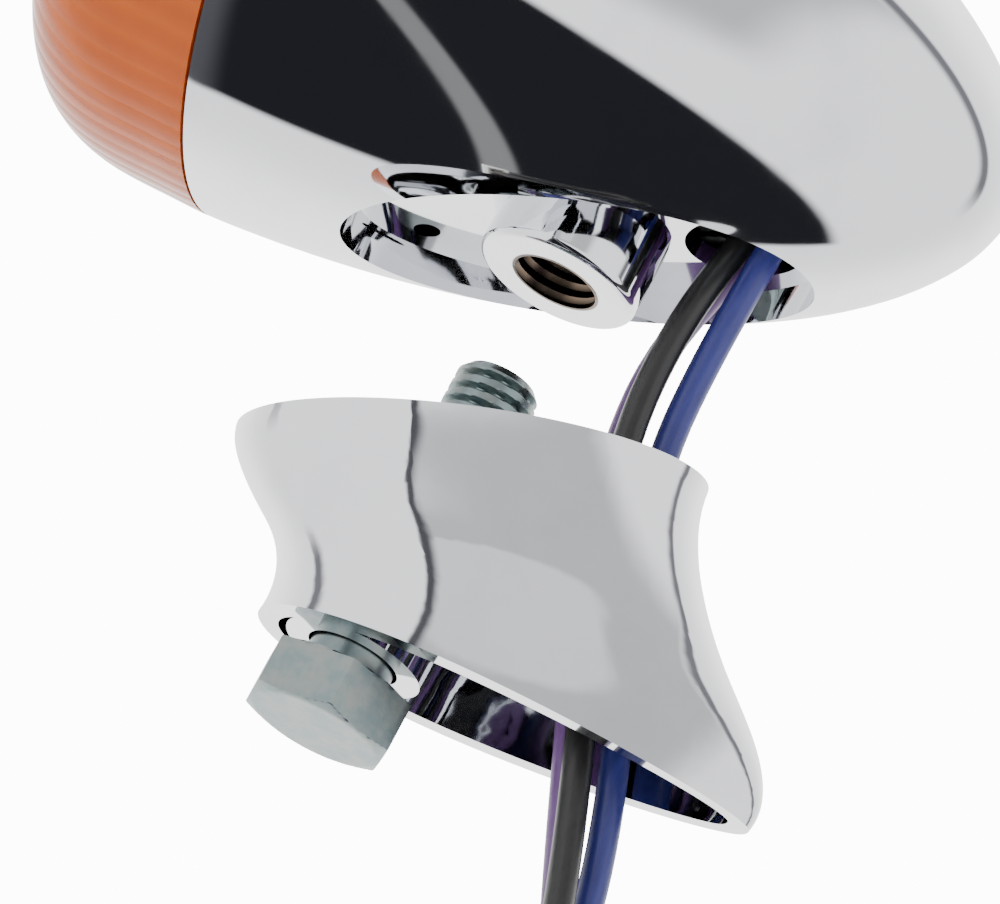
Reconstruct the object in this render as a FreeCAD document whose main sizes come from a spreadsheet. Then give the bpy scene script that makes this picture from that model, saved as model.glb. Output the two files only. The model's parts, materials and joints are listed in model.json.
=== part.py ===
"""Bullet turn signal with its hollow stand and mounting bolt, exploded along the bolt axis.

Frame, in mm: origin in the middle of the mouth of the housing's threaded boss, +Z up along the
bolt axis into the housing, +X toward the closed nose, lens at -X. The stand hangs below the boss
by the length of its own travel, so that sliding it up along +Z seats it in the housing's recess.
"""
import FreeCAD, Part
import math
import os
from FreeCAD import Vector

doc = FreeCAD.newDocument("TurnSignal")
sheet = doc.addObject("Spreadsheet::Sheet", "Sizes")

SIZES = {
    # bullet housing: a body of revolution about a line parallel to X
    "boss_below_body": 4.5, "seam_x": -35.2, "body_radius": 29.0, "body_length": 69.6,
    "body_round_x": 1.96, "body_round_r": 1.86, "wall": 2.2,
    "mouth_lip": 2.0, "mouth_depth": 7.3, "step_width": 2.2, "step_length": 3.0,
    # recess under the housing and the threaded boss standing in it
    "recess_centre": 0.9, "recess_half_length": 20.8, "recess_half_width": 11.4,
    "recess_height": 6.0, "recess_slope": 17.0, "recess_wall": 1.8,
    "boss_radius": 7.7, "boss_height": 14.5, "thread_radius": 3.97, "thread_fit": 0.05,
    "wire_hole_x": 14.0, "wire_hole_radius": 5.2,
    "drain_x": -14.0, "drain_y": 4.0, "drain_radius": 1.2,
    "boss_round": 0.8,
    # lens
    "lens_gap": 0.3, "lens_length": 22.0, "lens_wall": 2.0, "spigot_length": 5.0,
    "running_fit": 0.08, "spigot_wall": 1.3,
    "gasket_thick": 1.0, "gasket_width": 3.4, "part_gap": 0.3, "seat_fit": 0.1,
    # reflector
    "reflector_wall": 0.9, "reflector_neck_x": -12.5, "collar_length": 3.5,
    # bulb socket
    "socket_radius": 8.5, "socket_wall": 0.65, "socket_mouth_x": -13.5, "socket_end_x": 13.5,
    "disc_thick": 2.0, "disc_fit": 0.02, "terminal_radius": 0.9, "terminal_y": 3.0, "tail_x": 17.5, "tail_drop": 6.0,
    "carrier_x": 5.9, "carrier_fit": 0.35, "carrier_thick": 1.7, "button_radius": 1.5, "button_lift": 0.6,
    "push_travel": 2.0, "twist_angle": 15.0, "spring_radius": 4.6, "spring_wire": 0.8,
    "tab_thick": 1.0, "tab_width": 2.0, "tab_height": 6.0, "tab_reach": 3.4, "ground_y": 0.0,
    "spring_pitch": 1.22, "spring_turns": 2.5, "black_wire_x": 15.1,
    # bulb
    "base_radius": 7.5, "base_length": 16.0, "base_end_x": 4.0, "pin_radius": 1.0,
    "pin_reach": 8.35, "pin_low": 6.5, "pin_high": 9.7, "contact_radius": 1.3,
    "contact_height": 1.0, "base_wall": 0.8, "insulator_thick": 2.0, "contact_y": 2.8, "glass_radius": 13.2, "glass_length": 34.0,
    "glass_wall": 0.8, "filament_radius": 0.35, "filament_length": 5.0,
    # stand: sections lean from level at the foot to the recess slope at the rim
    "foot_drop": 40.4, "foot_left": -9.3, "foot_right": 38.0, "foot_half_width": 9.0,
    "band_straight": 0.5, "foot_band": 5.0, "rim_fit": 0.5, "rim_rise": 21.3, "stand_wall": 2.0,
    "stand_boss_radius": 6.5, "stand_boss_height": 18.3, "bolt_clearance": 0.35,
    "stand_rib": 2.2,
    # hexagon bolt, 5/16 inch
    "head_across_flats": 12.7, "head_height": 5.2, "bolt_length": 31.75, "bolt_drop": 2.2,
    "head_turn": 16.0, "bolt_point": 0.8,
    # wires and their coils
    "wire_radius": 1.35, "coil_radius": 14.5, "coil_turns": 2.0, "coil_x": 15.5, "coil_z": -79.0,
    "coil_pitch_y": 6.2, "wire_exit_y": 1.9, "tie_wall": 0.9, "tie_width": 4.0, "tie_fit": 0.15,
}
for row, (alias, value) in enumerate(SIZES.items(), start=1):
    sheet.set(f"A{row}", alias)
    sheet.set(f"B{row}", str(value))
    sheet.setAlias(f"B{row}", alias)
doc.recompute()


def size(alias):
    """The number that the sheet holds under this alias."""
    return float(sheet.get(alias))


X, Y, Z = Vector(1, 0, 0), Vector(0, 1, 0), Vector(0, 0, 1)
AXIS = Vector(0, 0, size("body_radius") - size("boss_below_body"))
mouth_r = size("body_radius") - size("mouth_lip")
step_r = mouth_r - size("step_width")
nodes = []


def feature(label, shape):
    """A named sub-part whose shape comes from the sheet's values."""
    obj = doc.addObject("Part::Feature", label)
    merged = shape.removeSplitter()
    obj.Shape = merged if merged.isValid() else shape
    obj.Label = label
    obj.Placement = FreeCAD.Placement()
    nodes.append(obj)
    return obj


def cylinder(name, start, length, radius, y="0", axis=X):
    """A cylinder about the housing's axis, or beside it by y, bound to expressions on the sheet."""
    obj = doc.addObject("Part::Cylinder", name)
    obj.Placement = FreeCAD.Placement(AXIS, FreeCAD.Rotation(Z, axis))
    obj.setExpression("Height", length)
    obj.setExpression("Radius", radius)
    obj.setExpression("Placement.Base.x", start)
    obj.setExpression("Placement.Base.y", y)
    return obj


def cut(label, whole, tools):
    """The named sub-part left when the tools are taken from a whole."""
    tool = tools[0]
    if len(tools) > 1:
        tool = doc.addObject("Part::MultiFuse", label + "_tools")
        tool.Shapes = tools
    obj = doc.addObject("Part::Cut", label + "_cut")
    obj.Base, obj.Tool = whole, tool
    return keep(obj, label)


def keep(obj, label):
    """A document object kept as a named sub-part."""
    obj.Label = label
    nodes.append(obj)
    return obj


def spline(points, start=None, end=None):
    """A smooth edge through the points, with end directions where given."""
    curve = Part.BSplineCurve()
    if start is None:
        curve.interpolate(points)
    else:
        curve.interpolate(Points=points, InitialTangent=start, FinalTangent=end)
    return curve.toShape()


def lines(points):
    """Straight edges from point to point."""
    return [Part.makeLine(a, b) for a, b in zip(points, points[1:])]


def turned(edges):
    """The solid swept by a closed outline turned about the housing's axis."""
    face = Part.Face(Part.Wire(Part.__sortEdges__(edges)))
    solid = face.revolve(AXIS, X, 360)
    return Part.Solid(solid.Shells[0]) if not solid.Solids else solid.Solids[0]


def at(x, radius):
    """A point of a turned outline: x along the axis and a radius below it."""
    return AXIS + Vector(x, 0, -radius)


def ring(x0, x1, inner, outer):
    """A plain ring about the housing's axis."""
    tube = Part.makeCylinder(outer, x1 - x0, AXIS + X * x0, X)
    return tube.cut(Part.makeCylinder(inner, x1 - x0 + 2, AXIS + X * (x0 - 1), X)) if inner else tube


# ---------------------------------------------------------------- housing
def body_points(inset, count=15):
    """Points of the housing's outline from seam to nose, moved inward by `inset`."""
    seam, length, radius = size("seam_x"), size("body_length"), size("body_radius")
    p, q = size("body_round_x"), size("body_round_r")
    found = []
    for i in range(count + 1):
        turn = math.pi / 2 * i / count
        x, r = seam + length * math.sin(turn) ** (2 / p), radius * math.cos(turn) ** (2 / q)
        dx = length * (2 / p) * math.sin(turn) ** (2 / p - 1) * math.cos(turn)
        dr = -radius * (2 / q) * max(math.cos(turn), 0.0) ** (2 / q - 1) * math.sin(turn)
        if i == 0:
            dx, dr = 1.0, 0.0
        if i == count:
            dx, dr = 0.0, -1.0
        norm = math.hypot(dx, dr)
        found.append((x + dr / norm * inset, max(r - dx / norm * inset, 0.0)))
    return found


def oval(centre, half_length, half_width, z):
    """A level elliptical face, long way along X."""
    curve = Part.Ellipse(Vector(centre, 0, z), half_length, half_width)
    return Part.Face(Part.Wire(curve.toShape()))


def under_slope(height, reach=60.0):
    """Everything below the sloping plane z = height + x tan(recess slope)."""
    tan = math.tan(math.radians(size("recess_slope")))
    corners = [Vector(-reach, 0, -reach), Vector(reach, 0, -reach),
               Vector(reach, 0, height + reach * tan), Vector(-reach, 0, height - reach * tan)]
    face = Part.Face(Part.Wire(lines([c - Y * reach for c in corners + corners[:1]])))
    return face.extrude(Y * 2 * reach)


outer = body_points(0.0)
inner = [(x, r) for x, r in body_points(size("wall")) if x > size("seam_x") + size("mouth_depth") + 6]
seam, nose = size("seam_x"), size("seam_x") + size("body_length")
step_x = seam + size("mouth_depth")
outline = [spline([at(*p) for p in outer], X, Z)]
outline += lines([at(nose, 0), at(seam, 0), at(*outer[0])])
outer_solid = turned(outline)
cavity_nose = at(inner[-1][0], 0)
cavity = [spline([at(*p) for p in inner], (at(*inner[1]) - at(*inner[0])), Z)]
cavity += lines([at(*inner[0]), at(step_x + size("step_length"), step_r),
                 at(step_x, step_r), at(step_x, mouth_r),
                 at(seam - 1, mouth_r), at(seam - 1, 0), cavity_nose])
shell = outer_solid.cut(turned(cavity))

wall = size("recess_wall")
pocket_block = oval(size("recess_centre"), size("recess_half_length") + wall,
                    size("recess_half_width") + wall, -10).extrude(Z * 40)
pocket_block = pocket_block.common(under_slope(size("recess_height") + wall)).common(outer_solid)
pocket = oval(size("recess_centre"), size("recess_half_length"),
              size("recess_half_width"), -12).extrude(Z * 40)
pocket = pocket.common(under_slope(size("recess_height")))
boss = Part.makeCylinder(size("boss_radius"), size("boss_height"))
mouth = [edge for edge in boss.Edges if len(edge.Vertexes) == 1 and abs(edge.BoundBox.ZMax) < 0.01]
boss = boss.makeFillet(size("boss_round"), mouth)
housing = shell.fuse(pocket_block).cut(pocket).fuse(boss)
thread_hole = size("thread_radius") + size("thread_fit")
housing = housing.cut(Part.makeCylinder(thread_hole, size("boss_height") + 2, Vector(0, 0, -1)))
housing = housing.cut(Part.makeCylinder(size("wire_hole_radius"), 20, Vector(size("wire_hole_x"), 0, 0)))
housing = housing.cut(Part.makeCylinder(size("drain_radius"), 12,
                                        Vector(size("drain_x"), size("drain_y"), -3)))
feature("housing", housing)

# ---------------------------------------------------------------- lens, gasket, reflector
lens_face = seam - size("lens_gap")
DOME = [(0, 1), (0.16, 0.993), (0.32, 0.985), (0.48, 0.969), (0.64, 0.928), (0.78, 0.853),
        (0.87, 0.76), (0.935, 0.62), (0.975, 0.42), (0.994, 0.2), (1, 0)]


def dome(radius, length, x0):
    """The lens outline, x running toward the tip, scaled from its proportions."""
    return [at(x0 - length * u, radius * v) for u, v in DOME]


lens_r, lens_t = size("body_radius"), size("lens_wall")
spigot_r = mouth_r - size("running_fit")
bore_r = spigot_r - size("spigot_wall")
spigot_x = seam + size("spigot_length")
outside = dome(lens_r, size("lens_length"), lens_face)
inside = dome(bore_r, size("lens_length") - lens_t, lens_face)
lens_edges = [spline(outside, -X, Z), spline(inside, -X, Z)]
lens_edges += lines([outside[-1], inside[-1]])
lens_edges += lines([inside[0], at(spigot_x, bore_r), at(spigot_x, spigot_r),
                     at(lens_face, spigot_r), outside[0]])
feature("lens", turned(lens_edges))

gasket_x = spigot_x + size("part_gap")
flange_x = gasket_x + size("gasket_thick")
feature("lens_gasket", ring(gasket_x, flange_x, mouth_r - size("gasket_width"),
                            mouth_r - size("seat_fit")))

neck_x, t = size("reflector_neck_x"), size("reflector_wall")
collar_r = size("socket_radius") + 0.02
dish_r = step_r - size("seat_fit")
flange_end = step_x
dish = []
for i in range(9):
    s = i / 8
    dish.append((flange_end + (neck_x - flange_end) * s, dish_r - (dish_r - collar_r - t) * s ** 1.7))
front = [at(x, r - t) for x, r in dish]
back = [at(x, r) for x, r in dish]
front[-1] = at(neck_x, collar_r)
collar_end = neck_x + size("collar_length")
reflector_edges = [spline(front), spline(back)]
reflector_edges += lines([front[0], at(flange_x, dish[0][1] - t),
                          at(flange_x, mouth_r - size("seat_fit")),
                          at(flange_end, mouth_r - size("seat_fit")), back[0]])
reflector_edges += lines([back[-1], at(collar_end, collar_r + t), at(collar_end, collar_r), front[-1]])
feature("reflector", turned(reflector_edges))

# ---------------------------------------------------------------- bulb socket
def sector(x0, x1, radius, start, sweep):
    """A slice of a cylinder about the housing's axis, angles counted from +Y toward +Z."""
    slice_ = Part.makeCylinder(radius, x1 - x0, AXIS + X * x0, X, sweep)
    middle = slice_.CenterOfMass - AXIS
    angle = math.degrees(math.atan2(middle.z, middle.y))
    slice_.rotate(AXIS, X, start + sweep / 2 - angle)
    return slice_


sock_in = size("socket_radius") - size("socket_wall")
mouth_x, end_x = size("socket_mouth_x"), size("socket_end_x")
socket = ring(mouth_x, end_x, sock_in, size("socket_radius"))
half_slot = math.degrees((size("pin_radius") + 0.4) / size("base_radius"))
for start, low in ((0.0, size("pin_low")), (180.0, size("pin_high"))):
    pin_x = size("base_end_x") - low
    room = size("pin_radius") + 0.4
    deep = pin_x + size("push_travel") + room
    slot_r = size("socket_radius") + 0.01
    socket = socket.cut(sector(mouth_x - 1, deep, slot_r, start + size("twist_angle") - half_slot,
                               2 * half_slot))
    socket = socket.cut(sector(pin_x - room, deep, slot_r, start - half_slot,
                               2 * half_slot + size("twist_angle")))
feature("socket_shell", socket)

disc_x = end_x - size("disc_thick")
term_r, term_y = size("terminal_radius"), size("terminal_y")
disc_start = "Sizes.socket_end_x - Sizes.disc_thick"
holes = [cylinder(f"disc_hole_{i}", disc_start + " - 1", "Sizes.disc_thick + 2", "Sizes.terminal_radius",
                  sign + "Sizes.terminal_y") for i, sign in enumerate(("-1 * ", ""))]
cut("socket_end_disc", cylinder("disc_blank", disc_start, "Sizes.disc_thick",
                                "Sizes.socket_radius - Sizes.socket_wall - Sizes.disc_fit"), holes)
TAILS = {"terminal_running": -1, "terminal_turn": 1}
for name, side in TAILS.items():
    start = AXIS + Vector(disc_x, side * term_y, 0)
    corner = AXIS + Vector(size("tail_x"), side * term_y, 0)
    pin = Part.makeCylinder(term_r, corner.x - start.x, start, X)
    tail = Part.makeCylinder(term_r, size("tail_drop"), corner, -Z)
    feature(name, pin.fuse(Part.makeSphere(term_r, corner)).fuse(tail))

carrier_x, carrier_t = size("carrier_x"), size("carrier_thick")
contact_y = size("contact_y")
sides = {"contact_button_running": "-1 * Sizes.contact_y", "contact_button_turn": "Sizes.contact_y"}
holes = [cylinder(name + "_hole", "Sizes.carrier_x - 1", "Sizes.carrier_thick + 2", "Sizes.button_radius", y)
         for name, y in sides.items()]
cut("contact_carrier", cylinder("carrier_blank", "Sizes.carrier_x", "Sizes.carrier_thick",
                                "Sizes.socket_radius - Sizes.socket_wall - Sizes.carrier_fit"), holes)
for name, y in sides.items():
    keep(cylinder(name + "_pin", "Sizes.carrier_x - Sizes.button_lift", "Sizes.carrier_thick + Sizes.button_lift",
                  "Sizes.button_radius", y), name)

spring_r, spring_w = size("spring_radius"), size("spring_wire") / 2
turns, pitch_x = size("spring_turns"), size("spring_pitch")
spring_x = carrier_x + carrier_t + spring_w
stations = []
for step in range(int(turns * 12) + 1):
    angle = 2 * math.pi * step / 12
    spoke = Vector(0, math.cos(angle), math.sin(angle))
    centre = AXIS + X * (spring_x + pitch_x * step / 12) + spoke * spring_r
    along = X * (pitch_x / (2 * math.pi * spring_r)) + Vector(0, -math.sin(angle), math.cos(angle))
    stations.append(Part.Wire(Part.Circle(centre, along, spring_w).toShape()))
feature("contact_spring", Part.makeLoft(stations, True, False))

tab_t, tab_w = size("tab_thick"), size("tab_width")
tab_z = AXIS.z - size("socket_radius")
tab_y = size("ground_y")
tab = Part.makeBox(tab_t, tab_w, size("tab_height"), Vector(end_x, tab_y - tab_w / 2, tab_z))
foot = Part.makeBox(size("tab_reach"), tab_w, tab_t, Vector(end_x, tab_y - tab_w / 2, tab_z))
feature("ground_terminal", tab.fuse(foot))

# ---------------------------------------------------------------- bulb
base_r, base_end = size("base_radius"), size("base_end_x")
base_top = base_end - size("base_length")
base = ring(base_top, base_end, base_r - size("base_wall"), base_r)
for start, low in ((0.0, size("pin_low")), (180.0, size("pin_high"))):
    out = Vector(0, math.cos(math.radians(start)), math.sin(math.radians(start)))
    root = AXIS + X * (base_end - low) + out * (base_r - 0.5)
    base = base.fuse(Part.makeCylinder(size("pin_radius"), size("pin_reach") - base_r + 0.5, root, out))
feature("bulb_base", base)
keep(cylinder("insulator_blank", "Sizes.base_end_x - Sizes.insulator_thick", "Sizes.insulator_thick",
              "Sizes.base_radius - Sizes.base_wall"), "bulb_insulator")
for name, side in (("bulb_contact_running", -1), ("bulb_contact_turn", 1)):
    spot = AXIS + Vector(base_end, side * contact_y, 0)
    feature(name, Part.makeCylinder(size("contact_radius"), size("contact_height"), spot, X))
GLOBE = [(0.0, 0.5), (0.14, 0.53), (0.3, 0.8), (0.45, 0.96), (0.6, 1.0), (0.76, 0.92),
         (0.9, 0.66), (0.97, 0.36), (1.0, 0.0)]
globe_x, globe_l, globe_r, globe_t = base_top, size("glass_length"), size("glass_radius"), size("glass_wall")
neck_end = base_top + 5.0
outside = [at(globe_x - globe_l * u, globe_r * v) for u, v in GLOBE]
inside = [at(globe_x - (globe_l - globe_t) * u, max(globe_r * v - globe_t, 0)) for u, v in GLOBE]
neck_r = globe_r * GLOBE[0][1]
glass = [spline(outside, -X, Z), spline(inside, -X, Z)]
glass += lines([outside[-1], inside[-1]])
glass += lines([outside[0], at(neck_end, neck_r), at(neck_end, neck_r - globe_t), inside[0]])
feature("bulb_glass", turned(glass))
insulator_x = base_end - size("insulator_thick")
stem = ring(insulator_x - 12.0, insulator_x - 3.0, 0, 2.4)
feature("bulb_stem", stem)
lead, post_x = size("filament_radius"), insulator_x - 12.0
for name, side, reach in (("filament_turn", 1, 9.0), ("filament_running", -1, 6.0)):
    spread, half = 1.6, size("filament_length") / 2
    centre = AXIS + Vector(post_x - reach, 0, side * spread)
    posts = [Part.makeCylinder(lead, reach, AXIS + Vector(post_x, s * half * 0.6, side * spread), -X)
             for s in (-1, 1)]
    coil = Part.makeCylinder(lead * 1.6, 2 * half, centre - Y * half, Y)
    feature(name, coil.fuse(posts[0]).fuse(posts[1]))

# ---------------------------------------------------------------- stand
def section(left, right, half_width, egg, z, slope, inset=0.0, count=28):
    """A closed smooth outline in the plane z + x tan: an oval whose blunt end is toward -X."""
    middle, half = (left + right) / 2, (right - left) / 2 - inset
    points = []
    for i in range(count):
        turn = 2 * math.pi * i / count
        x = middle + half * math.cos(turn)
        y = (half_width - inset) * math.sin(turn) * (1 - egg * math.cos(turn))
        points.append(Vector(x, y, z + x * slope - size("foot_drop")))
    curve = Part.BSplineCurve()
    curve.interpolate(Points=points, PeriodicFlag=True)
    return Part.Wire(curve.toShape())


rim_left = size("recess_centre") - size("recess_half_length") + size("rim_fit")
rim_right = size("recess_centre") + size("recess_half_length") - size("rim_fit")
rim_width = size("recess_half_width") - size("rim_fit")
rim_slope = math.tan(math.radians(size("recess_slope")))
foot_l, foot_r, foot_w = size("foot_left"), size("foot_right"), size("foot_half_width")
band, rise = size("foot_band"), size("rim_rise")
# (height share, share of the way from foot to rim for each end and for the slope, width, egg)
BODY = [(0.0, 0.0, 0.0, foot_w, 0.30), (0.16, 0.23, 0.22, foot_w * 0.97, 0.25),
        (0.34, 0.5, 0.47, foot_w * 0.97, 0.19), (0.54, 0.75, 0.71, foot_w + 0.4, 0.12),
        (0.76, 0.92, 0.90, foot_w + 1.1, 0.05), (1.0, 1.0, 1.0, rim_width, 0.0)]


def stand_sections(inset, extra):
    """Outlines from the foot, straight for most of its band, up to the sloping rim."""
    straight = [section(foot_l, foot_r, foot_w, BODY[0][4], z, 0, inset)
                for z in ((-extra, 0.0) if extra else (0.0,))]
    straight.append(section(foot_l, foot_r, foot_w, BODY[0][4], size("band_straight") * band, 0, inset))
    found = []
    for share, left, right, width, egg in BODY[1:]:
        found.append(section(foot_l + (rim_left - foot_l) * left, foot_r + (rim_right - foot_r) * right,
                             width, egg, band + (rise - band) * share,
                             rim_slope * share ** 1.5, inset))
    return straight + found


def stand_solid(inset, extra):
    """The foot band run smoothly into the leaning body, with `extra` of straight wall beyond each end."""
    sections = stand_sections(inset, extra)
    solid = Part.makeLoft(sections, True, False)
    if extra:
        solid = solid.fuse(Part.Face(sections[-1]).extrude(Z * extra))
    return solid


foot_z = -size("foot_drop")
stand_t = size("stand_wall")
skin = stand_solid(0.0, 0.0)
hollow = stand_solid(stand_t, 3.0)
post = Part.makeCylinder(size("stand_boss_radius"), size("stand_boss_height"), Vector(0, 0, foot_z))
rib_t = size("stand_rib")
rib = Part.makeBox(rib_t, 2 * foot_w, size("stand_boss_height") - 3, Vector(-rib_t / 2, -foot_w, foot_z + 1.5))
stand = skin.cut(hollow).fuse(rib.common(skin)).fuse(post)
bolt_hole = size("thread_radius") + size("bolt_clearance")
stand = stand.cut(Part.makeCylinder(bolt_hole, 60, Vector(0, 0, foot_z - 1)))
feature("stand", stand)

# ---------------------------------------------------------------- bolt
seat_z = foot_z - size("bolt_drop")
head_bottom = seat_z - size("head_height")
flats = size("head_across_flats")
corner = flats / math.sqrt(3)
hexagon = [Vector(corner * math.cos(math.radians(size("head_turn") + 60 * k)),
                  corner * math.sin(math.radians(size("head_turn") + 60 * k)), head_bottom)
           for k in range(7)]
head = Part.Face(Part.Wire(lines(hexagon))).extrude(Z * size("head_height"))
crown = Part.makeCone(flats / 2 * 0.95, flats / 2 * 0.95 + 3 * size("head_height"), size("head_height") * 1.5,
                      Vector(0, 0, head_bottom))
head = head.common(crown)
shank_l, point = size("bolt_length"), size("bolt_point")
thread_r = size("thread_radius")
shank = Part.makeCylinder(thread_r, shank_l - point, Vector(0, 0, seat_z))
shank = shank.fuse(Part.makeCone(thread_r, thread_r - point, point, Vector(0, 0, seat_z + shank_l - point)))
feature("mounting_bolt", head.fuse(shank))

# ---------------------------------------------------------------- wires and coils
coil_r, wire_r = size("coil_radius"), size("wire_radius")
entry_x, entry_z = size("coil_x") + coil_r, size("coil_z")
pitch = size("coil_pitch_y")
exit_y = size("wire_exit_y")
tail_z = AXIS.z - size("tail_drop")
ROUTES = {
    "wire_black": [(size("black_wire_x"), 0, tab_z + 0.3), (12.0, -exit_y, 4), (13.0, -exit_y, -17), (24.2, -exit_y, -46),
                   (entry_x, -pitch, -64), (entry_x, -pitch, entry_z)],
    "wire_violet": [(size("tail_x"), term_y, tail_z + 0.3), (10.8, exit_y, 4), (11.8, exit_y, -17),
                    (22.8, exit_y, -46), (entry_x, pitch, -64), (entry_x, pitch, entry_z)],
    "wire_blue": [(size("tail_x"), -term_y, tail_z + 0.3), (15.7, -0.7, 4), (16.2, 0, -17),
                  (27.6, 0, -46), (entry_x, 0, -62), (entry_x, 0, entry_z)],
}


def rounded(points):
    """Straight runs joined by tangent arcs of radius 0.45 x the shorter run / tan(half the turn)."""
    points = [Vector(*p) for p in points]
    edges, radii, start = [], [], points[0]
    for before, corner_, after in zip(points, points[1:], points[2:]):
        back, ahead = (before - corner_), (after - corner_)
        trim = 0.45 * min(back.Length, ahead.Length)
        half = (math.pi - back.getAngle(ahead)) / 2
        radius = trim / math.tan(half)
        back, ahead = back.normalize(), ahead.normalize()
        a, b = corner_ + back * trim, corner_ + ahead * trim
        inward = (back + ahead).normalize()
        middle = corner_ + inward * (radius / math.cos(half) - radius)
        edges += [Part.LineSegment(start, a).toShape(), Part.Arc(a, middle, b).toShape()]
        radii.append(radius)
        start = b
    edges.append(Part.LineSegment(start, points[-1]).toShape())
    return Part.Wire(edges), radii


for name, points in ROUTES.items():
    path, radii = rounded(points)
    way = (Vector(*points[1]) - Vector(*points[0])).normalize()
    end = Part.Wire(Part.Circle(Vector(*points[0]), way, wire_r).toShape())
    tube = path.makePipeShell([end], True, False)
    want = math.pi * wire_r ** 2 * path.Length
    print(name, "bend radii", [round(r, 1) for r in radii], "length", round(path.Length, 1),
          "volume share", round(tube.Volume / want, 4))
    feature(name, tube)

turns, coil_c = size("coil_turns"), Vector(size("coil_x"), 0, size("coil_z"))
COILS = {"coil_black": -pitch, "coil_blue": 0.0, "coil_violet": pitch}
coil_w = 2 * wire_r * turns + 0.2
for name, y in COILS.items():
    start = coil_c + Y * (y - coil_w / 2)
    outer_r, inner_r = coil_r + wire_r, coil_r - wire_r
    whole = Part.makeCylinder(outer_r, coil_w, start, Y).cut(Part.makeCylinder(inner_r, coil_w, start, Y))
    feature(name, whole)
tie_t, tie_w, gap = size("tie_wall"), size("tie_width"), size("tie_fit")
span_x, span_y = wire_r + gap + 0.15, pitch + coil_w / 2 + gap
middle = coil_c - X * coil_r
loop = Part.makeBox(2 * (span_x + tie_t), 2 * (span_y + tie_t), tie_w,
                    middle - Vector(span_x + tie_t, span_y + tie_t, tie_w / 2))
loop = loop.cut(Part.makeBox(2 * span_x, 2 * span_y, tie_w, middle - Vector(span_x, span_y, tie_w / 2)))
feature("coil_tie", loop)

# ---------------------------------------------------------------- checks and files
doc.recompute()
os.makedirs("parts", exist_ok=True)
for obj in nodes:
    shape = obj.Shape
    bad = "Invalid" in obj.State or "Error" in obj.State or shape.isNull() or not shape.isValid()
    if bad or shape.Volume <= 0 or len(shape.Solids) != 1:
        raise RuntimeError(f"{obj.Label}: solids {len(shape.Solids)}, state {obj.State}")
    shape.exportStep(os.path.join("parts", obj.Label + ".step"))
    box = shape.BoundBox
    print(f"{obj.Label:24s} {shape.Volume:10.1f} mm3  x {box.XMin:7.2f} {box.XMax:7.2f}  "
          f"y {box.YMin:7.2f} {box.YMax:7.2f}  z {box.ZMin:7.2f} {box.ZMax:7.2f}")
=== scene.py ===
# %% [markdown]
# # A bullet turn signal, seen apart from its stand
# The lamp is a chromed, die-cast bullet with an amber lens at its blunt end. A leaning chromed
# stand sits between the lamp and the motorcycle, one bolt comes up through both, and three wires
# leave through a slot in the seat. Every piece already has its solid, so this lesson draws the wires
# as free cords, gives each piece its finish, smooths the two castings and rolls the bolt's thread.
# The hole's thread and the lens's flutes are fine relief, and stay patterns in their finishes.

# %% Tools and the frame
import json
import bmesh
import bpy
import numpy as np
from mathutils import Matrix, Vector

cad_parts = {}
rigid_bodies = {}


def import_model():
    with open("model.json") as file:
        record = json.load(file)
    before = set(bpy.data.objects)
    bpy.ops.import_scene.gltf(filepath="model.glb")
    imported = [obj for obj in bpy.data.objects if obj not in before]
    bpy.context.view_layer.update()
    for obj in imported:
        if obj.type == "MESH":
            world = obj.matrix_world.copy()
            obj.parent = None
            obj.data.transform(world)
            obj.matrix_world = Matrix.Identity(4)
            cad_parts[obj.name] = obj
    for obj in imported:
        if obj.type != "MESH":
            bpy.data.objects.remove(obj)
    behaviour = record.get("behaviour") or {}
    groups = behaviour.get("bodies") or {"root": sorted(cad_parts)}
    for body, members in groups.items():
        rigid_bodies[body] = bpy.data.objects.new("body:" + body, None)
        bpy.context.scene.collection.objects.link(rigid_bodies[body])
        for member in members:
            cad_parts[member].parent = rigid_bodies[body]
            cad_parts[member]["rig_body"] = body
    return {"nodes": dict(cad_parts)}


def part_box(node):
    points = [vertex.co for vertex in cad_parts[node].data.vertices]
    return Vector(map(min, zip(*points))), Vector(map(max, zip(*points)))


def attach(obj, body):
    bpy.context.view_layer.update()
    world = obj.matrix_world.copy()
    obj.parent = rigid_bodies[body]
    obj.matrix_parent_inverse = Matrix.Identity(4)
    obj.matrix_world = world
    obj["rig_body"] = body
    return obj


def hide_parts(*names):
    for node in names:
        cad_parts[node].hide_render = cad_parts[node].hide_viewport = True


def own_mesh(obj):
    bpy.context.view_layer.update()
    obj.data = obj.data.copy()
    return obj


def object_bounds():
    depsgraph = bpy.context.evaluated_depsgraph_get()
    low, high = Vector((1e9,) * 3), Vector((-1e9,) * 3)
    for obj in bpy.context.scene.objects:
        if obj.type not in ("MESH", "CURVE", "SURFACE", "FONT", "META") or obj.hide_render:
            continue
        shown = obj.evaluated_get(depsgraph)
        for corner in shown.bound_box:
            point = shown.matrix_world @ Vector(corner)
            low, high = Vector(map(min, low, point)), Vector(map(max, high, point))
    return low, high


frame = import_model()
cad_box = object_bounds()
MM = 0.001

# %% [markdown]
# ## The camera
# The signal is looked at from below and a little to one side, with a long lens, so that the seat's
# recess, the stand and the bolt head all show. A camera is a place, a heading, a climb and a lean.
# Building its three axes from those angles keeps each number readable.

# %% Camera
CAMERA_AT = Vector((102.86, -400.21, -178.87)) * MM
HEADING, CLIMB, LEAN = np.radians((14.02, 21.40, 28.21))
LENS_MM, SENSOR_MM = 180.0, 36.0


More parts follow.
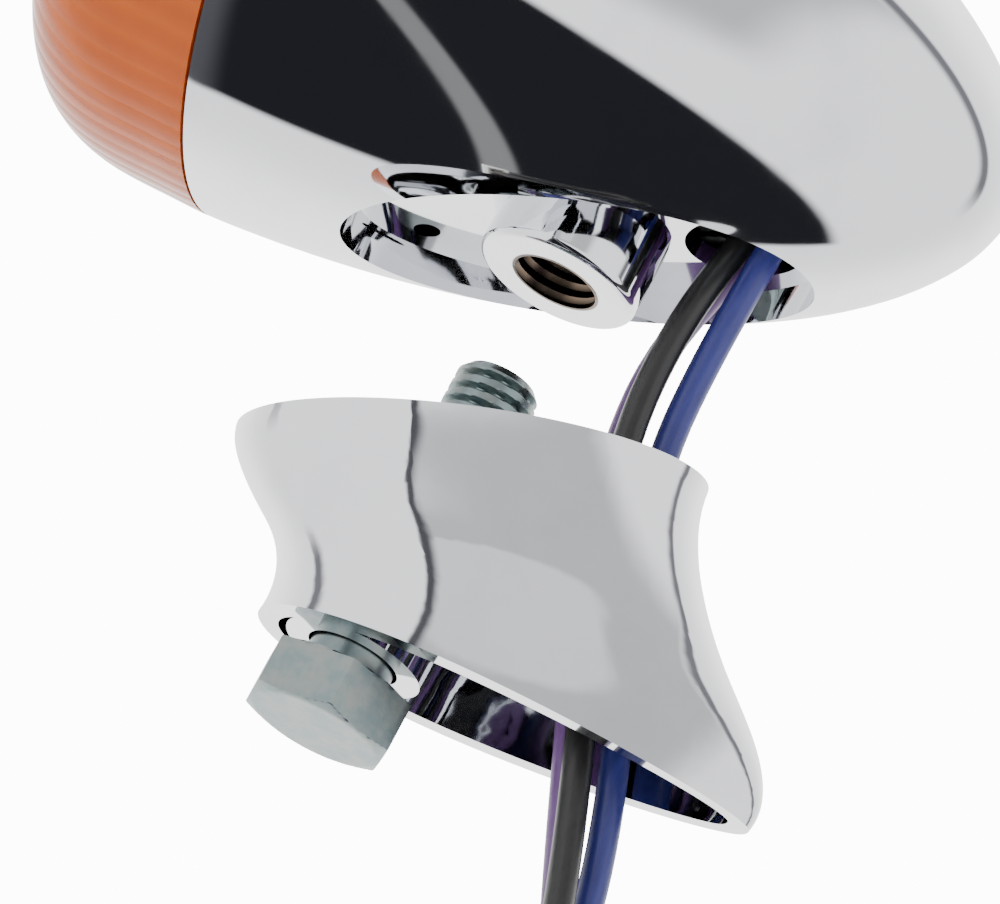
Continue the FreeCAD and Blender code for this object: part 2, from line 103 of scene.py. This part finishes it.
def camera_axes(heading, climb, lean):
    """Right, up and back: forward is turned by the heading and raised by the climb, level right and
    its up are square to it, and the lean turns both about forward."""
    forward = Vector((-np.sin(heading) * np.cos(climb), np.cos(heading) * np.cos(climb), np.sin(climb)))
    level = Vector((np.cos(heading), np.sin(heading), 0))
    above = level.cross(forward)
    right = level * np.cos(lean) + above * np.sin(lean)
    return right, right.cross(forward), -forward


right, up, back = camera_axes(HEADING, CLIMB, LEAN)
camera_data = bpy.data.cameras.new("camera")
camera_data.lens, camera_data.sensor_width = LENS_MM, SENSOR_MM
camera = bpy.data.objects.new("camera", camera_data)
camera.matrix_world = Matrix((right, up, back)).transposed().to_4x4()
camera.location = CAMERA_AT
bpy.context.scene.collection.objects.link(camera)
bpy.context.scene.camera = camera
print("camera right", [round(v, 3) for v in right], "up", [round(v, 3) for v in up])

# %% [markdown]
# ## The three wires
# Each wire is soldered to a terminal in the lamp, bends down through the seat's slot, hangs past the
# bolt inside the stand and ends in a small coil held by a nylon tie. A free cord could be a swept
# mesh, but one open spline with a round bevel follows a few listed points and bends smoothly
# between them, so each wire is one spline from terminal to bare end.

# %% Wire routes
WIRE_ROUTES = {
    "wire_black": [(15.1, 0, 16.3), (12, -1.9, 4), (13, -1.9, -17), (24.2, -1.9, -46), (30, -6.2, -64),
                   (30, -6.2, -79)],
    "wire_violet": [(17.5, 3, 18.8), (10.8, 1.9, 4), (11.8, 1.9, -17), (22.8, 1.9, -46), (30, 6.2, -64),
                    (30, 6.2, -79)],
    "wire_blue": [(17.5, -3, 18.8), (15.7, -0.7, 4), (16.2, 0, -17), (27.6, 0, -46), (30, 0, -62),
                  (30, 0, -79)],
}
WIRE_ACROSS = 2.7 * MM
COIL_MIDDLE, COIL_RADIUS = Vector((15.5, 0, -79)) * MM, 14.5 * MM
COIL_TURNS, POINTS_A_TURN = 1.86, 16
STEPS_BETWEEN_POINTS = 10


def coil_points(side):
    """A helix about a line along Y: the angle runs from the entry, and each turn moves one wire's
    width across, so that the turns lie beside each other about the middle given by side."""
    turn = np.arange(1, int(COIL_TURNS * POINTS_A_TURN) + 1) / POINTS_A_TURN
    angle = 2 * np.pi * turn
    x = COIL_MIDDLE.x + COIL_RADIUS * np.cos(angle)
    y = side + WIRE_ACROSS * (turn - COIL_TURNS / 2)
    z = COIL_MIDDLE.z - COIL_RADIUS * np.sin(angle)
    return np.column_stack((x, y, z))


def wire(name):
    """One order-three NURBS spline over the route's points and then the coil's. Its bevel is one
    metre deep and each point's radius shrinks it to the wire's own, so the curve's box is true."""
    route = np.array(WIRE_ROUTES[name]) * MM
    entry = route[-1].copy()
    route[-1][1] = entry[1] - WIRE_ACROSS * COIL_TURNS / 2
    points = np.vstack((route, coil_points(entry[1])))
    curve = bpy.data.curves.new(name, "CURVE")
    curve.dimensions, curve.bevel_depth, curve.bevel_resolution = "3D", 1.0, 6
    curve.use_fill_caps = True
    curve.resolution_u = curve.render_resolution_u = STEPS_BETWEEN_POINTS
    spline = curve.splines.new("NURBS")
    spline.points.add(len(points) - 1)
    spline.points.foreach_set("co", np.column_stack((points, np.ones(len(points)))).ravel())
    spline.points.foreach_set("radius", np.full(len(points), WIRE_ACROSS / 2))
    spline.order_u, spline.use_endpoint_u = 3, True
    made = bpy.data.objects.new(name + "_cord", curve)
    bpy.context.scene.collection.objects.link(made)
    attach(made, "housing_body")
    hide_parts(name, name.replace("wire", "coil"))
    return made


wires = {name: wire(name) for name in WIRE_ROUTES}

# %% [markdown]
# ## Writing a finish as an expression
# A finish is a graph of nodes, and its patterns are sums: a stripe, a smudge, a mask. Wiring each
# Math node by hand hides the sum, so one small class wraps a socket and gives it + - * and /, and one
# method adds any other node. The graph is then read as it is written.

# %% Finish helpers
class Amount:
    """A number that varies over a surface: the output of some node, with arithmetic."""

    def __init__(self, finish, socket):
        self.finish, self.socket = finish, socket

    def __add__(self, other):
        return self.finish.maths("ADD", self, other)

    def __sub__(self, other):
        return self.finish.maths("SUBTRACT", self, other)

    def __rsub__(self, other):
        return self.finish.maths("SUBTRACT", other, self)

    def __mul__(self, other):
        return self.finish.maths("MULTIPLY", self, other)

    def __truediv__(self, other):
        return self.finish.maths("DIVIDE", self, other)

    __radd__, __rmul__ = __add__, __mul__


class Graph:
    """A node tree, with one method that adds any node and short names for the common ones."""

    def __init__(self, tree):
        self.tree = tree

    def node(self, kind, settings=None, inputs=None, output=0):
        """Adds any node: settings first, then its sockets' values or links."""
        made = self.tree.nodes.new(kind)
        for key, value in (settings or {}).items():
            setattr(made, key, value)
        for key, value in (inputs or {}).items():
            if isinstance(value, Amount):
                self.tree.links.new(value.socket, made.inputs[key])
            else:
                made.inputs[key].default_value = value
        return Amount(self, made.outputs[output])

    def maths(self, operation, *values):
        return self.node("ShaderNodeMath", {"operation": operation}, dict(enumerate(values)))

    def part(self, vector, axis):
        """One of a vector's three numbers."""
        split = self.node("ShaderNodeSeparateXYZ", inputs={0: vector})
        return Amount(self, split.socket.node.outputs[axis])

    def between(self, value, low, high):
        """0 below low, 1 above high and a soft step between them."""
        return self.node("ShaderNodeMapRange", {"interpolation_type": "SMOOTHSTEP"},
                         {0: value, 1: low, 2: high})

    def mix(self, factor, first, second):
        """A colour from first to second; each is a colour or another mix."""
        return self.node("ShaderNodeMix", {"data_type": "RGBA"}, {0: factor, 6: first, 7: second}, output=2)


class Finish(Graph):
    """A material with one Principled shader, its constants set on the sockets themselves."""

    def __init__(self, name, **constants):
        self.material = bpy.data.materials.new(name + "_finish")
        self.material.use_nodes = True
        super().__init__(self.material.node_tree)
        self.shader = self.tree.nodes["Principled BSDF"]
        for key, value in constants.items():
            self.shader.inputs[key.replace("_", " ")].default_value = value
        self.place = self.node("ShaderNodeTexCoord", output="Object")

    def noise(self, per_metre, detail=3.0, roughness=0.55, stretch=(1, 1, 1)):
        """Noise of so many waves to the metre, stretched along the axes."""
        scaled = self.node("ShaderNodeMapping", inputs={0: self.place, 3: stretch})
        return self.node("ShaderNodeTexNoise", inputs={
            "Vector": scaled, "Scale": per_metre, "Detail": detail, "Roughness": roughness})

    def bump(self, height, distance, strength=1.0):
        normal = self.node("ShaderNodeBump", inputs={
            "Height": height, "Distance": distance, "Strength": strength})
        self.tree.links.new(normal.socket, self.shader.inputs["Normal"])

    def feed(self, socket, value):
        self.tree.links.new(value.socket, self.shader.inputs[socket])


def paint(finish, *names):
    """Puts a finish on CAD pieces, in place of their plain one."""
    for name in names:
        mesh = frame["nodes"][name].data
        mesh.materials.clear()
        mesh.materials.append(finish.material)
    print(finish.material.name, "is on", ", ".join(names))


# %% [markdown]
# ## Chrome
# The housing and stand are cast in zinc, polished, then plated with copper, nickel and chrome. The
# polishing wheel leaves patches of faint haze. A bump could show its waves too, but on a mirror a bump
# frays every reflected edge, so the haze varies only roughness and tint. Inside the thread hole the
# plating is thin and brown, and a mask finds that place by its distance from the bolt's axis. There the
# thread's grooves are painted darker than its ridges, as painted shade.

# %% Chrome finish
THREAD_RADIUS, THREAD_PITCH = 4.02 * MM, 25.4 / 18 * MM  # a 5/16 inch thread, 18 turns to the inch
THREAD_TOP = 14.5 * MM
PLATED, HAZED = (0.80, 0.81, 0.83, 1), (0.72, 0.73, 0.75, 1)
# Thread-hole colours: the near-black groove colour is painted shade in the thread's grooves, and the ridge
# brown is the hole's thin plating.
SHADED_GROOVE_BROWN, RIDGE_BROWN = (0.035, 0.026, 0.018, 1), (0.20, 0.15, 0.11, 1)
MIRROR, HAZE_ROUGH, HOLE_ROUGH = 0.035, 0.05, 0.25


def plating(made):
    """A mirror's roughness and its colour, with slow patches of faint haze."""
    haze = made.between(made.noise(90, 4), 0.45, 0.8)
    return MIRROR + haze * HAZE_ROUGH, made.mix(haze, PLATED, HAZED)


def chrome(name):
    made = Finish(name, Metallic=1.0)
    rough, colour = plating(made)
    made.feed("Roughness", rough)
    made.feed("Base Color", colour)
    return made


def threaded_chrome(name):
    """Chrome with a dull thread hole: inside is 1 near the axis and below the hole's top, and the
    ridge is a saw of height over pitch plus the angle's share of a turn, folded to a triangle."""
    made = Finish(name, Metallic=1.0)
    rough, colour = plating(made)
    x, y, z = (made.part(made.place, axis) for axis in range(3))
    from_axis = made.maths("SQRT", x * x + y * y)
    inside = (1 - made.between(from_axis, THREAD_RADIUS + 0.2 * MM, THREAD_RADIUS + 0.35 * MM)) * (
        1 - made.between(z, THREAD_TOP, THREAD_TOP + 0.2 * MM))
    spiral = z / THREAD_PITCH + made.maths("ARCTAN2", y, x) / (2 * np.pi)
    ridge = made.maths("ABSOLUTE", made.maths("FRACT", spiral) - 0.5) * 2
    # Painted shade: the thread's grooves are coloured darker than its ridges, over the hole's own brown.
    thread_brown_and_groove_shade = made.mix(ridge, SHADED_GROOVE_BROWN, RIDGE_BROWN)
    made.feed("Roughness", rough + inside * HOLE_ROUGH)
    made.feed("Base Color", made.mix(inside, colour, thread_brown_and_groove_shade))
    made.bump(ridge * inside, 0.6 * MM)
    return made


chrome_housing = threaded_chrome("chrome_housing")
chrome_stand = chrome("chrome_stand")
print("chrome finishes:", chrome_housing.material.name, "and", chrome_stand.material.name)

# %% [markdown]
# ## Smooth skins for the castings
# A polished casting has no facets, and chrome shows every one. The solid's mesh is loose triangles, so
# a copy of it is merged and shaded smooth. The bullet's outside could be built again from its formula,
# but its openings would have to be cut again too. So the copy keeps the mesh, and only its normals are
# taken from the formula.

# %% Smooth skins
MERGE_WITHIN, SHARP_ANGLE = 0.002 * MM, np.radians(25)
SWELL_ALONG, SWELL_ROUND = 1.96, 1.86
ON_SURFACE, SAME_WAY = 0.004, 0.96


def smoothed(name, finish):
    """A CAD piece copied with its loose triangles merged, so that light runs smoothly over the
    curved faces and breaks only where two faces meet at more than the sharp angle."""
    mesh = frame["nodes"][name].data.copy()
    mesh.name = name + "_skin"
    work = bmesh.new()
    work.from_mesh(mesh)
    bmesh.ops.remove_doubles(work, verts=work.verts, dist=MERGE_WITHIN)
    work.to_mesh(mesh)
    work.free()
    if "custom_normal" in mesh.attributes:
        mesh.attributes.remove(mesh.attributes["custom_normal"])
    mesh.shade_smooth()
    mesh.set_sharp_from_angle(angle=SHARP_ANGLE)
    mesh.materials.clear()
    mesh.materials.append(finish.material)
    made = bpy.data.objects.new(name + "_skin", mesh)
    bpy.context.scene.collection.objects.link(made)
    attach(made, frame["nodes"][name]["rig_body"])
    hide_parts(name)
    print(made.name, "has", len(mesh.vertices), "corners after merging")
    return made


def numbers(items, field, width, kind=float):
    """One field of all of a mesh's items as an array with that many columns."""
    flat = np.empty(len(items) * width, kind)
    items.foreach_get(field, flat)
    return flat.reshape(-1, width)


def polish(made, shell):
    """The bullet's outside follows u^p + (r/R)^q = 1, u being the share of the way from the lens to
    the nose. Corners on that surface take its gradient as their normal; the rest keep their own."""
    low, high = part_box(shell)
    radius, length = (high.y - low.y) / 2, high.x - low.x
    mesh = made.data
    corner = numbers(mesh.loops, "vertex_index", 1, int).ravel()
    x, y, z = numbers(mesh.vertices, "co", 3)[corner].T
    facing = np.repeat(numbers(mesh.polygons, "normal", 3), 3, axis=0)
    z = z - (high.z - radius)
    u = np.clip((x - low.x) / length, 1e-6, 1.0)
    r = np.maximum(np.hypot(y, z), 1e-9)
    out = SWELL_ROUND * (r / radius) ** (SWELL_ROUND - 1) / radius
    along = SWELL_ALONG * u ** (SWELL_ALONG - 1) / length
    normal = np.column_stack((along, out * y / r, out * z / r))
    normal /= np.linalg.norm(normal, axis=1, keepdims=True)
    off = np.abs(u ** SWELL_ALONG + (r / radius) ** SWELL_ROUND - 1)
    outside = (off < ON_SURFACE) & ((normal * facing).sum(axis=1) > SAME_WAY)
    mesh.normals_split_custom_set(np.where(outside[:, None], normal, 0.0).tolist())
    print(made.name, "has", int(outside.sum()), "corners on the polished outside")


polish(smoothed("housing", chrome_housing), "housing")
smoothed("stand", chrome_stand)

# %% [markdown]
# ## Amber lens
# The lens is moulded in clear amber acrylic, with fine flutes that spread the lamp's light. The flutes
# could be ridges in the mesh, but they are finer than its faces, so they are a bump. Part of the light
# passes through and part is scattered, which keeps the colour full over the dark inside.

# %% Amber finish
FLUTE_WIDTH = 2.4 * MM
AMBER, DEEP_AMBER = (0.60, 0.125, 0.0, 1), (0.38, 0.055, 0.0, 1)


def amber():
    """Tinted clear plastic. A flute is the size of sine of pi times y over the flute's width, and
    tints the plastic as well as bumping it."""
    made = Finish("amber_lens", Roughness=0.06, IOR=1.49, Transmission_Weight=0.55,
                  Specular_IOR_Level=0.12)
    y = made.part(made.place, 1)
    flute = made.maths("ABSOLUTE", made.maths("SINE", y * (np.pi / FLUTE_WIDTH)))
    cloud = made.noise(220, 2)
    made.feed("Base Color", made.mix(cloud * 0.4 + flute * 0.25, AMBER, DEEP_AMBER))
    made.bump(flute * 0.0001 + cloud * 0.00002, 1.0, 0.5)
    return made


paint(amber(), "lens")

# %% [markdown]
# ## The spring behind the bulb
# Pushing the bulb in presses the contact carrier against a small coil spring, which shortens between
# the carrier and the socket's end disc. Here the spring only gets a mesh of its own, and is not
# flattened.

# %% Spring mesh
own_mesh(frame["nodes"]["contact_spring"])

# %% [markdown]
# ## Metals, plastics and rubber inside
# Most inner pieces are stampings and mouldings whose finish is one base colour broken by grain,
# so one function takes the colours, the scale of the grain and how deep it is.

# %% Plain finishes
def grained(name, light, dark, per_metre, depth, roughness, metallic=0.0, stretch=(1, 1, 1), **constants):
    """Two tones mixed by noise, which also roughens and dents the surface."""
    made = Finish(name, Metallic=metallic, **constants)
    grain = made.noise(per_metre, 5, stretch=stretch)
    broad = made.noise(per_metre / 8, 2, stretch=stretch)
    made.feed("Base Color", made.mix(made.between(grain * 0.6 + broad * 0.4, 0.3, 0.7),
                                     (*dark, 1), (*light, 1)))
    made.feed("Roughness", roughness - 0.06 + grain * 0.12)
    made.bump(grain, depth)
    return made


paint(grained("seal_rubber", (0.05, 0.012, 0.016), (0.028, 0.006, 0.01), 2500, 0.00003, 0.6), "lens_gasket")
paint(grained("reflector_plate", (0.78, 0.78, 0.76), (0.6, 0.6, 0.58), 700, 0.00001, 0.16, 1.0), "reflector")
paint(grained("plated_steel", (0.68, 0.69, 0.68), (0.5, 0.52, 0.52), 1400, 0.00002, 0.3, 1.0),
      "socket_shell", "ground_terminal", "contact_spring")
paint(grained("phenolic", (0.10, 0.055, 0.03), (0.05, 0.028, 0.018), 1800, 0.00003, 0.5),
      "socket_end_disc", "contact_carrier", "bulb_insulator")
paint(grained("contact_brass", (0.80, 0.60, 0.28), (0.62, 0.43, 0.18), 1500, 0.00001, 0.28, 1.0),
      "terminal_running", "terminal_turn", "contact_button_running", "contact_button_turn",
      "bulb_contact_running", "bulb_contact_turn")
paint(grained("bulb_cap", (0.86, 0.70, 0.42), (0.66, 0.5, 0.28), 900, 0.00001, 0.22, 1.0), "bulb_base")
paint(grained("filament_wire", (0.4, 0.38, 0.36), (0.22, 0.21, 0.2), 4000, 0.00001, 0.45, 1.0),
      "filament_turn", "filament_running")
paint(grained("tie_nylon", (0.86, 0.86, 0.82), (0.78, 0.78, 0.73), 1600, 0.00002, 0.42,
              Subsurface_Weight=0.15), "coil_tie")
paint(grained("lamp_glass", (1.0, 1.0, 1.0), (0.95, 0.97, 0.96), 300, 0.000004, 0.07,
              Transmission_Weight=1.0, IOR=1.47), "bulb_glass", "bulb_stem")
for name, light, dark in (("wire_black", (0.012, 0.012, 0.012), (0.006, 0.006, 0.006)),
                          ("wire_violet", (0.13, 0.055, 0.19), (0.09, 0.035, 0.14)),
                          ("wire_blue", (0.020, 0.024, 0.15), (0.013, 0.016, 0.10))):
    sheath = grained(name, light, dark, 1500, 0.00003, 0.36, stretch=(1, 1, 0.15))
    wires[name].data.materials.append(sheath.material)

# %% [markdown]
# ## The mounting bolt
# A hex bolt is forged and its thread is rolled, which leaves smooth round flanks. A helix could be cut
# from a cylinder, but the cut tears where the thread runs out. So all of the bolt is one closed
# surface whose radius depends on the angle and on the height: the hex, its turned chamfer and the
# helix are three formulas joined at their heights.

# %% Closed surface from a grid
TURNED_EDGE = np.radians(28)


def sheet_of(name, grid):
    """A closed tube of quads from a grid of places, rows along it and columns round it."""
    rows, columns, _ = grid.shape
    index = np.arange(rows * columns).reshape(rows, columns)
    nxt = np.roll(index, -1, axis=1)
    quads = np.stack((index[:-1], nxt[:-1], nxt[1:], index[1:]), axis=-1).reshape(-1, 4)
    caps = [tuple(index[0][::-1]), tuple(index[-1])]
    mesh = bpy.data.meshes.new(name)
    mesh.from_pydata(grid.reshape(-1, 3).tolist(), [], quads.tolist() + caps)
    mesh.validate()
    mesh.shade_smooth()
    mesh.set_sharp_from_angle(angle=TURNED_EDGE)
    made = bpy.data.objects.new(name, mesh)
    bpy.context.scene.collection.objects.link(made)
    return made


# %% Bolt surface
HEAD_ACROSS_FLATS, HEAD_HEIGHT, HEAD_TURN = 12.7 * MM, 5.2 * MM, np.radians(16)
HEAD_CORNER = HEAD_ACROSS_FLATS / np.sqrt(3)
CHAMFER_CIRCLE = HEAD_ACROSS_FLATS * 0.475
CHAMFER_SHARES, CHAMFER_SPREAD, CHAMFER_RISE = (0.15, 0.35, 0.6, 0.85, 1.1, 1.4, 1.8), 1.25, 0.32 * MM
SHANK_RADIUS, END_RING = 3.97 * MM, 0.3 * MM
THREAD_STARTS, THREAD_RUNS_IN, THREAD_DEPTH = 3.0 * MM, 1.5 * MM, 0.62 * MM
POINT_LENGTH, POINT_DROP = 0.9 * MM, 0.75 * MM
POINTS_ROUND, ROWS_A_PITCH = 144, 12


def hex_radius(angle):
    """Half the width across flats over the cosine of the angle from the nearest flat's middle."""
    off = (angle - HEAD_TURN + np.pi / 6) % (np.pi / 3) - np.pi / 6
    return HEAD_ACROSS_FLATS / 2 / np.cos(off)


def head_rows(angle, bottom, top):
    """The head: a flat face, a cone that the hexagon is cut back to, the flats, and an under edge
    eased back from the corners."""
    hexagon, level = hex_radius(angle), np.zeros_like(angle)
    rows = [(level + radius, bottom) for radius in (
        END_RING, CHAMFER_CIRCLE * 0.80, CHAMFER_CIRCLE * 0.93, CHAMFER_CIRCLE)]
    for share in CHAMFER_SHARES:
        cone = CHAMFER_CIRCLE + share * (HEAD_CORNER - CHAMFER_CIRCLE) / CHAMFER_SPREAD
        rows.append((np.minimum(hexagon, cone), bottom + share * CHAMFER_RISE))
    rows += [(hexagon, bottom + 0.75 * MM), (hexagon, top - 0.45 * MM),
             (np.minimum(hexagon, HEAD_CORNER - 0.1 * MM), top - 0.2 * MM),
             (np.minimum(hexagon, HEAD_ACROSS_FLATS * 0.5), top),
             (level + HEAD_ACROSS_FLATS * 0.48, top), (level + SHANK_RADIUS + 0.02 * MM, top)]
    return rows


def thread_rows(angle, head_top, tip):
    """The shank, then its radius less a groove between flat crests. The groove's place is the height
    over the pitch less the angle's share of a turn; its depth grows over the run-in, and the point
    tapers."""
    rows = []
    for z in np.arange(head_top + 0.3 * MM, tip + 1e-9, THREAD_PITCH / ROWS_A_PITCH):
        crest = np.abs(((z / THREAD_PITCH - angle / (2 * np.pi)) % 1) - 0.5) * 2
        groove = np.clip((0.5 - crest) * 2.4, 0, 1)
        depth = THREAD_DEPTH * np.clip((z - head_top - THREAD_STARTS) / THREAD_RUNS_IN, 0, 1)
        drop = POINT_DROP * np.clip((z - tip + POINT_LENGTH) / POINT_LENGTH, 0, 1)
        rows.append((np.minimum(SHANK_RADIUS - depth * groove, SHANK_RADIUS - drop), z))
    return rows + [(END_RING + 0 * angle, tip)]


def bolt_grid():
    """Every row's radius and height turned into places round the bolt's axis. The angles start at a
    corner of the hexagon, so that each corner falls on a column."""
    low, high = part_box("mounting_bolt")
    head_top = low.z + HEAD_HEIGHT
    angle = HEAD_TURN + np.pi / 6 + np.linspace(0, 2 * np.pi, POINTS_ROUND, endpoint=False)
    rows = head_rows(angle, low.z, head_top) + thread_rows(angle, head_top, high.z)
    radius = np.array([row[0] for row in rows])
    height = np.array([np.full_like(angle, row[1]) for row in rows])
    return np.stack((radius * np.cos(angle), radius * np.sin(angle), height), axis=-1)


bolt = sheet_of("bolt_made", bolt_grid())
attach(bolt, "bolt_body")
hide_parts("mounting_bolt")
print("the bolt has", len(bolt.data.polygons), "faces")

# %% [markdown]
# ## Zinc on the bolt
# Zinc plating is duller and bluer than chrome, and its clear passivation leaves cloudy patches from
# blue to straw. Two noises do it: a broad one for the cloud's tint and a fine one for the grain.

# %% Zinc finish
ZINC_BLUE, ZINC_STRAW = (0.20, 0.255, 0.26, 1), (0.27, 0.30, 0.285, 1)
bolt_zinc = Finish("zinc_bolt", Metallic=1.0)
film = bolt_zinc.noise(420, 3)
speckle = bolt_zinc.noise(2600, 5)
bolt_zinc.feed("Base Color", bolt_zinc.mix(bolt_zinc.between(film, 0.35, 0.65), ZINC_BLUE, ZINC_STRAW))
bolt_zinc.feed("Roughness", 0.24 + speckle * 0.16)
bolt_zinc.bump(speckle, 0.000012)
bolt.data.materials.append(bolt_zinc.material)
print(bolt_zinc.material.name, "is on", bolt.name)

# %% [markdown]
# ## The floor
# The signal hangs over a plain pale sheet. A sweep that curves up behind would do as well, but a flat
# sheet far below leaves every side free to look from, from well underneath too.

# %% Floor
FLOOR_BELOW, FLOOR_HALF = 1.2, 14.0
PALE, PALER = (0.88, 0.88, 0.88, 1), (0.92, 0.92, 0.92, 1)

floor_z = cad_box[0][2] - FLOOR_BELOW
floor_mesh = bpy.data.meshes.new("floor")
corners = [(x * FLOOR_HALF, y * FLOOR_HALF, floor_z) for x, y in ((-1, -1), (1, -1), (1, 1), (-1, 1))]
floor_mesh.from_pydata(corners, [], [(0, 1, 2, 3)])
floor = bpy.data.objects.new("floor", floor_mesh)
bpy.context.scene.collection.objects.link(floor)
floor_paint = Finish("floor_paper", Roughness=0.9, Emission_Strength=0.9)
floor_paint.feed("Base Color", floor_paint.mix(floor_paint.noise(40), PALER, PALE))
floor_paint.shader.inputs["Emission Color"].default_value = (1, 1, 1, 1)
floor_mesh.materials.append(floor_paint.material)
floor.visible_glossy = False  # the plating mirrors the room, not the sheet it hangs over
print("the floor is", round(floor_z, 3), "m from the boss")

# %% [markdown]
# ## The room's light
# Chrome shows only what surrounds it. Softboxes and black cards could be hung round the lamp, but each
# would light the other pieces too and would show from some side. Here the room itself is a pattern of
# directions: bright all round, with one side that is black below and grey above. That gives the
# plating its crisp bands, and thin dark lines stand for the cards' edges. What is seen straight on,
# not in a reflection, is plain and pale.

# %% Room light
TO_DARK_SIDE = (0.2256, -0.9033, -0.3649)
BRIGHT, DIMMER = (1.0, 1.0, 1.0, 1), (0.66, 0.66, 0.67, 1)
GREY, WINDOW_GREY = (0.30, 0.30, 0.31, 1), (0.44, 0.44, 0.45, 1)
BLACK, BACKGROUND = (0.008, 0.008, 0.010, 1), (5, 5, 5, 1)
LINE_GREY, SIDE_LINE_GREY, STREAK_GREY = (0.10, 0.10, 0.11, 1), (0.04, 0.04, 0.045, 1), (0.12, 0.12, 0.12, 1)
WINDOW_AT = (-0.1, -0.80, 0.58)
ROOM_STRENGTH = 2.6

world = bpy.data.worlds.new("room")
bpy.context.scene.world = world
world.use_nodes = True
room = Graph(world.node_tree)
toward = room.node("ShaderNodeTexCoord", output="Generated")
frontness = room.node("ShaderNodeVectorMath", {"operation": "DOT_PRODUCT"},
                      {0: toward, 1: TO_DARK_SIDE}, output="Value")
sideways, upward = room.part(toward, 0), room.part(toward, 2)
past_edge = room.between(frontness, 0.08, 0.14)
front = past_edge * room.between(sideways, -0.315, -0.30)
lifted = room.between(upward, -0.25, 0.15)
leaning = sideways + upward * 1.6
dark_side = front * (lifted * (1 - room.between(sideways, 0.42, 0.60))
                     + (1 - lifted) * (1 - room.between(leaning, -0.56, -0.46)))
print("the room's dark side faces", TO_DARK_SIDE)

# %% Room shades and lines
window = room.node("ShaderNodeVectorMath", {"operation": "DISTANCE"}, {0: toward, 1: WINDOW_AT},
                   output="Value")
grey = room.mix(1 - room.between(window, 0.30, 0.36), GREY, WINDOW_GREY)
bright = room.mix(room.between(frontness, -0.8, 0.05), BRIGHT, DIMMER)
shade = room.mix(dark_side, bright, room.mix(lifted, BLACK, grey))
edge = room.between(frontness, -0.05, 0.0) * (1 - room.between(frontness, 0.04, 0.14))
shade = room.mix(edge * lifted, shade, LINE_GREY)
side_edge = room.between(sideways, -0.335, -0.315) * (1 - room.between(sideways, -0.30, -0.26))
shade = room.mix(side_edge * past_edge, shade, SIDE_LINE_GREY)
from_streak = room.maths("ABSOLUTE", sideways + upward * 0.5 + 0.40)
streak = (1 - room.between(from_streak, 0.02, 0.035)) * (1 - lifted) * front
shade = room.mix(streak, shade, STREAK_GREY)
seen = room.node("ShaderNodeLightPath", output="Is Camera Ray")
background = world.node_tree.nodes["Background"]
room.tree.links.new(room.mix(seen, shade, BACKGROUND).socket, background.inputs["Color"])
background.inputs["Strength"].default_value = ROOM_STRENGTH
print("the room has", len(world.node_tree.nodes), "nodes")
